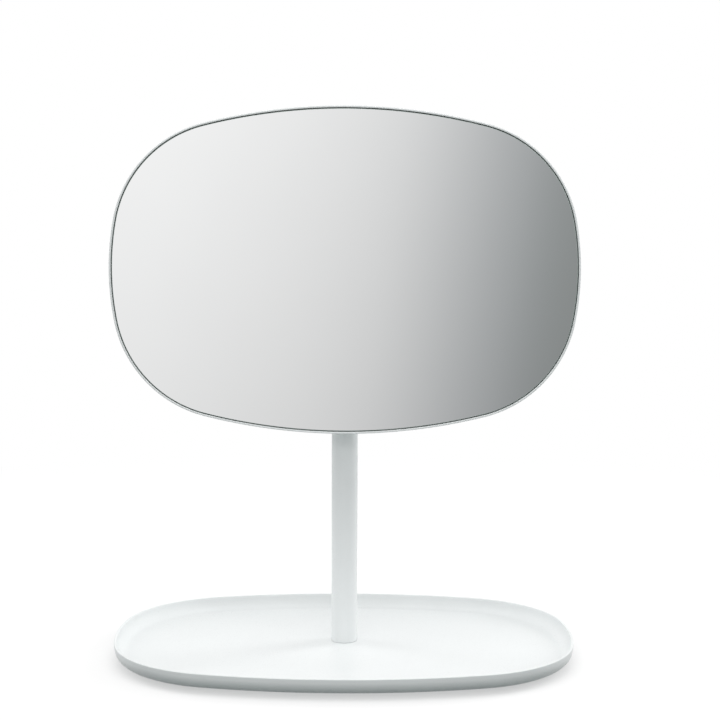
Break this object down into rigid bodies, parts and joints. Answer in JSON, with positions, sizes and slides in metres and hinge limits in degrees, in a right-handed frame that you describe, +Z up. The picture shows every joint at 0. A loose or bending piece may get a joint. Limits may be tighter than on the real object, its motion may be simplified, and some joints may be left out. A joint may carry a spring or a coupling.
{
  "type": "table mirror",
  "caption": "Oval table mirror that tilts on a round post, standing in a shallow tray of the same rounded outline for small things.",
  "frame": {"origin": "on the table, under the middle of the tray", "axes": "+X to the right of someone facing the mirror, +Y to the back, +Z up"},
  "size_m": [0.28, 0.195, 0.3335],
  "materials": {
    "white_coat": "white powder coat, semi-matt with a fine grain",
    "zinc_steel": "bright zinc plating",
    "silvered_glass": "silvered float glass, polished",
    "foot_rubber": "pale soft rubber",
    "bush_plastic": "natural acetal",
    "pad_foam": "closed-cell foam tape"
  },
  "bodies": {
    "base": {"tray": "white_coat", "foot_front_left": "foot_rubber", "foot_front_right": "foot_rubber", "foot_rear_left": "foot_rubber", "foot_rear_right": "foot_rubber", "post_tube": "white_coat", "post_foot_plug": "zinc_steel", "locating_pin": "zinc_steel", "base_screw": "zinc_steel", "hinge_head": "white_coat", "hinge_screw": "zinc_steel", "disc_spring": "zinc_steel", "hinge_washer": "zinc_steel", "hinge_nut": "zinc_steel"},
    "mirror_head": {"mirror_shell": "white_coat", "hinge_bracket": "white_coat", "bush_left": "bush_plastic", "bush_right": "bush_plastic", "bracket_screws": "zinc_steel", "mirror_glass": "silvered_glass", "adhesive_pad_lower_left": "pad_foam", "adhesive_pad_lower_right": "pad_foam", "adhesive_pad_upper_left": "pad_foam", "adhesive_pad_upper_right": "pad_foam"}
  },
  "joints": [
    {"name": "mirror_tilt", "type": "hinge", "parent": "base", "child": "mirror_head", "pos_m": [0, 0.014, 0.236], "axis": [-1, 0, 0], "range_deg": [-5, 90]}
  ]
}
